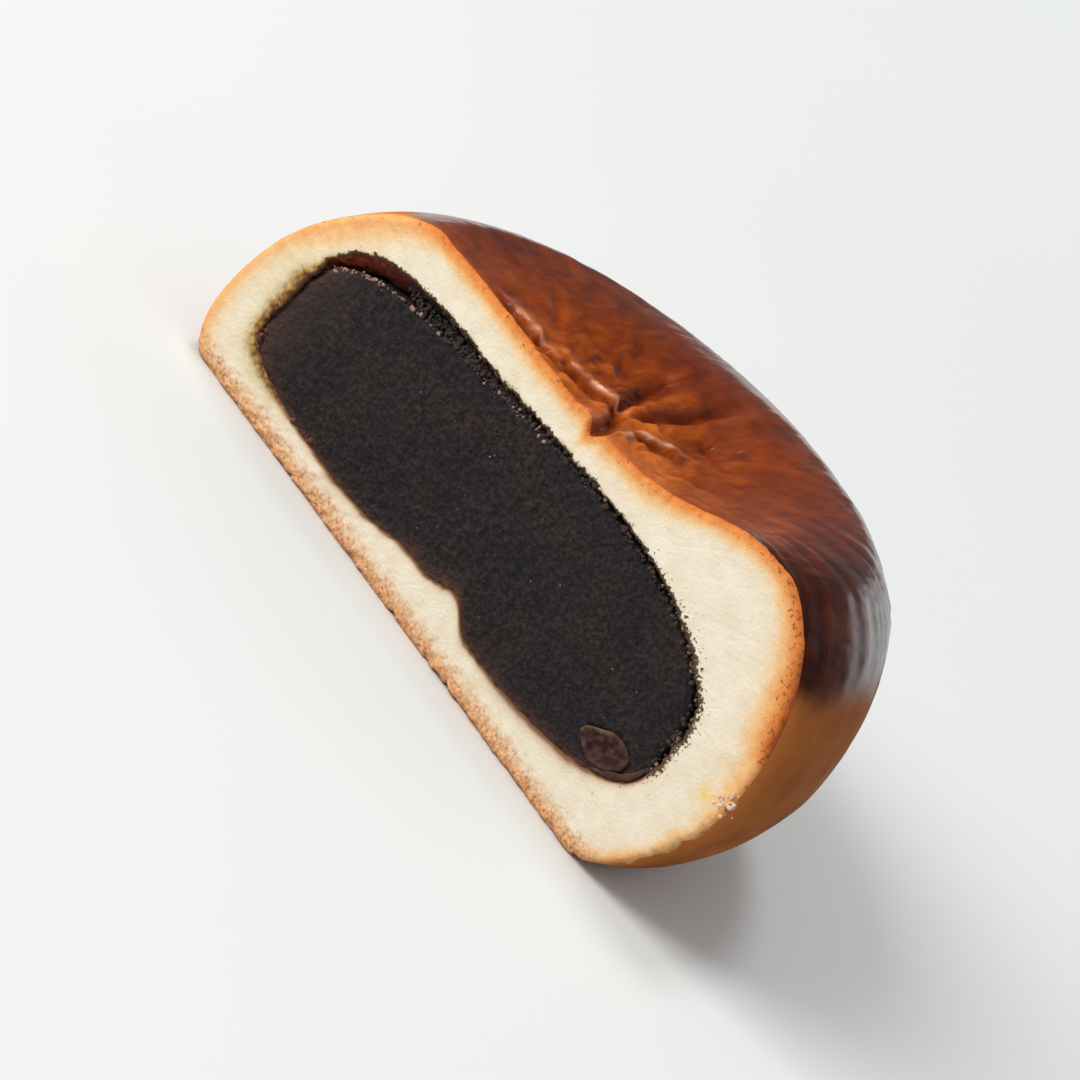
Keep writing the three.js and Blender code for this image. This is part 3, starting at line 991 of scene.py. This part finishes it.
def crumbLook(tree):
    browning, stain = mark(tree, "browning"), mark(tree, "stain")
    place = placeAlong(tree)
    baked = ramp(plus(browning, ripple(tree, 1100, 4, 0.3)),
                 (0, (250, 243, 223)), (0.16, (250, 235, 207)), (0.34, (253, 210, 153)),
                 (0.58, (246, 170, 98)), (0.82, (220, 127, 58)), (1, (180, 90, 38)))
    baked = mix(1, baked, ramp(mottle(tree, 420, 3), (0.35, (248, 245, 240)), (0.65, grey(1))), "MULTIPLY")
    # dark pores in the well baked rim, most at the thick end, and a yellow spot
    inRim = ramp(browning, (0.38, grey(0)), (0.66, grey(1)))
    pores = speckle(2000, times(inRim, between(place["X"], 0.016, 0.03, 0.2, 0.33)))
    baked = mix(times(pores, 0.75), baked, (140, 74, 38))
    baked = mix(times(mark(tree, "spot"), 0.8), baked, (250, 214, 104))
    # the coarse underside shows as a sandy band with a soft, uneven upper edge
    band = between(plus(place["Z"], ripple(tree, 1300, 5, 0.0042)), 0.003, 0.0007, way="SMOOTHSTEP")
    sand = ramp(mottle(tree, 2600, 4), (0.3, (190, 122, 76)), (0.42, (220, 157, 107)),
                (0.56, (238, 185, 136)), (0.7, (252, 220, 184)))
    sand = mix(speckle(2300, times(band, 0.3)), sand, (176, 110, 68))
    crumb = mix(times(band, 0.9), baked, sand)
    # next to the paste the crumb is soaked brown, and olive at the thin end
    atThinEnd = between(place["X"], -0.023, -0.028)
    grainy = times(stain, plus(0.05, times(mottle(tree, 1900, 4), 1.4)))
    olive = ramp(grainy, (0, (238, 226, 188)), (0.25, (216, 194, 134)), (0.45, (172, 134, 72)),
                 (0.65, (120, 80, 42)), (0.85, (70, 44, 30)))
    soaked = ramp(stain, (0, (238, 222, 194)), (0.35, (206, 173, 134)), (0.65, (150, 109, 76)),
                  (1, (84, 59, 46)))
    soaked = mix(atThinEnd, soaked, olive)
    # the hollow's wall is darker, and reddish over the paste at the thin end
    wall = ramp(times(stain, 0.5), (0.5, (138, 92, 52)), (0.62, (82, 50, 32)), (0.8, (48, 30, 24)),
                (1, (30, 22, 20)))
    wall = mix(times(times(atThinEnd, 0.8), between(place["Z"], 0.015, 0.019)), wall, (150, 66, 38))
    wall = mix(1, wall, ramp(mottle(tree, 1500, 4), (0.38, grey(0.45)), (0.62, grey(1.4))), "MULTIPLY")
    soaked = mix(maths("GREATER_THAN", stain, 1.01), soaked, wall)
    crumb = mix(maths("MULTIPLY", stain, 1.6, clamp=True), crumb, soaked)
    crumb = mix(speckle(2600, mark(tree, "specks")), crumb, (92, 68, 52))
    return {
        "Base Color": crumb, "Roughness": 0.85, "Specular IOR Level": 0.3,
        "Subsurface Weight": 0.06, "Subsurface Radius": (1, 0.7, 0.45), "Subsurface Scale": 0.0012,
        "Normal": bump(0.3, 0.0003, mottle(tree, 2600, 4)),
    }


def pasteLook(tree):
    tint = ramp(mottle(tree, 160, 5), (0.3, (31, 26, 31)), (0.5, (36, 30, 31)), (0.7, (46, 34, 31)))
    grains = ramp(mottle(tree, 2000, 4), (0.36, (0.36, 0.36, 0.37, 1)), (0.5, grey(0.92)),
                  (0.66, (1.9, 1.84, 1.78, 1)))
    tint = mix(1, tint, grains, "MULTIPLY")
    place = placeAlong(tree)
    tint = mix(times(between(place["X"], -0.026, -0.033), 0.6), tint, (70, 54, 52))
    tint = mix(times(mark(tree, "fringe"), mottle(tree, 900, 4)), tint, (128, 84, 62))
    return {
        "Base Color": tint, "Roughness": 0.75, "Specular IOR Level": 0.25,
        "Normal": bump(0.9, 0.0005, mottle(tree, 2000, 4)),
    }


def beanLook(tree):
    flesh = ramp(mottle(tree, 1300, 4), (0.38, (42, 27, 28)), (0.64, (80, 47, 44)))
    shell = ramp(mottle(tree, 700, 3), (0.4, (68, 48, 38)), (0.62, (118, 86, 64)))
    return {
        "Base Color": mix(mark(tree, "skin"), flesh, shell), "Roughness": 0.6,
        "Specular IOR Level": 0.18, "Normal": bump(0.7, 0.0003, mottle(tree, 1500, 4)),
    }


def lumpLook(tree, colour):
    dark = tuple(0.82 * value for value in colour)
    return {"Base Color": ramp(mottle(tree, 1800, 2), (0.35, dark), (0.6, colour)), "Roughness": 0.85}


makePatches()
makeSpecks()
makeBread()
print("bread made")
makePaste()
makeBean()
makeBeanSkin()
print("filling made")
makeCrumbs()
print("crumbs made")


camera = dict(
    azimuth=22,
    elevation=23,
    roll=44,
    distance=0.65,
    lens=211.6,
    aim=(-1.3, -6.9, 10.7),
)


def makeCamera():
    # looks at the aim from the azimuth and elevation, rolled anticlockwise
    turn, lift, roll = (math.radians(camera[key]) for key in ("azimuth", "elevation", "roll"))
    facing = Matrix.Rotation(turn, 4, "Z") @ Matrix.Rotation(math.pi / 2 - lift, 4, "X")
    lens = bpy.data.cameras.new("camera")
    lens.lens = camera["lens"]
    lens.clip_start, lens.clip_end = 0.05, 20
    eye = bpy.data.objects.new("camera", lens)
    eye.matrix_world = (Matrix.Translation(Vector(camera["aim"]) * mm) @ facing
                        @ Matrix.Rotation(roll, 4, "Z") @ Matrix.Translation((0, 0, camera["distance"])))
    bpy.context.collection.objects.link(eye)
    bpy.context.scene.camera = eye


backdrop = (0.893, 0.912, 0.922, 1)
stage = dict(
    radius=4000,
    segments=96,
    drop=0.02,
    pale=((228, 230, 230), (232, 233, 232)),
    bounce=(186, 180, 174),  # what the floor sends back up
    fadeFrom=0.1,  # it turns into the backdrop between these distances, in metres
    fadeTo=0.5,
)


def floorLook(tree):
    tone = ramp(mottle(tree, 6, 2), (0.3, stage["pale"][0]), (0.7, stage["pale"][1]))
    # it sends back less light than it shows, as a dark plate would
    rays = add(tree, "LightPath").outputs
    seen = maths("MAXIMUM", rays["Is Camera Ray"], rays["Is Glossy Ray"])
    away = add(tree, "VectorMath", {0: objectPlace(tree)}, operation="LENGTH").outputs["Value"]
    far = between(away, stage["fadeFrom"], stage["fadeTo"], way="SMOOTHSTEP")
    tone = mix(far, tone, grey(0))
    return {
        "Base Color": mix(seen, stage["bounce"], tone), "Roughness": 0.9, "Specular IOR Level": 0,
        "Emission Color": mix(times(seen, far), grey(0), backdrop), "Emission Strength": 1,
    }


def makeFloor():
    turn = circle(stage["segments"])
    edge = join(stage["radius"] * cos(turn), stage["radius"] * sin(turn), -stage["drop"])
    material = newMaterial("floor_pale", floorLook)
    floor = toMesh("floor", edge, [list(range(stage["segments"]))], material)


# direction, distance, size, power and tint of each soft square light
lights = {
    "key_light": ((-0.62, -0.62, 0.62), 1.2, 0.7, 13.1, (1, 0.985, 0.96)),
    "top_light": ((-0.3, 0.1, 0.95), 1.2, 0.25, 3.4, (1, 1, 1)),
    "side_light": ((0.47, 0.58, 0.66), 1.2, 0.5, 0.5, (0.97, 0.98, 1)),
    "back_light": ((0.15, 1, 0.16), 1.3, 0.7, 1.4, (1, 0.96, 0.96)),
}


def makeLights():
    for name, (direction, distance, size, power, tint) in lights.items():
        light = bpy.data.lights.new(name, "AREA")
        light.size, light.energy, light.color = size, power, tint
        lamp = bpy.data.objects.new(name, light)
        lamp.visible_camera = False
        direction = Vector(direction).normalized()
        place = Vector((0, 0, rayHeight * mm)) + direction * distance
        lamp.matrix_world = Matrix.Translation(place) @ direction.to_track_quat("Z", "Y").to_matrix().to_4x4()
        bpy.context.collection.objects.link(lamp)
    # the world is brightest as seen by the camera, and weakest in the gloss
    world = bpy.data.worlds.new("studio")
    world.use_nodes = True
    rays = add(world.node_tree, "LightPath").outputs
    strength = plus(0.42, times(rays["Is Camera Ray"], 0.58))
    strength = maths("SUBTRACT", strength, times(rays["Is Glossy Ray"], 0.2))
    feed(world.node_tree.nodes["Background"], {"Color": backdrop, "Strength": strength})
    bpy.context.scene.world = world
    bpy.context.scene.view_settings.view_transform = "Standard"


makeCamera()
makeFloor()
makeLights()
print("stage set")
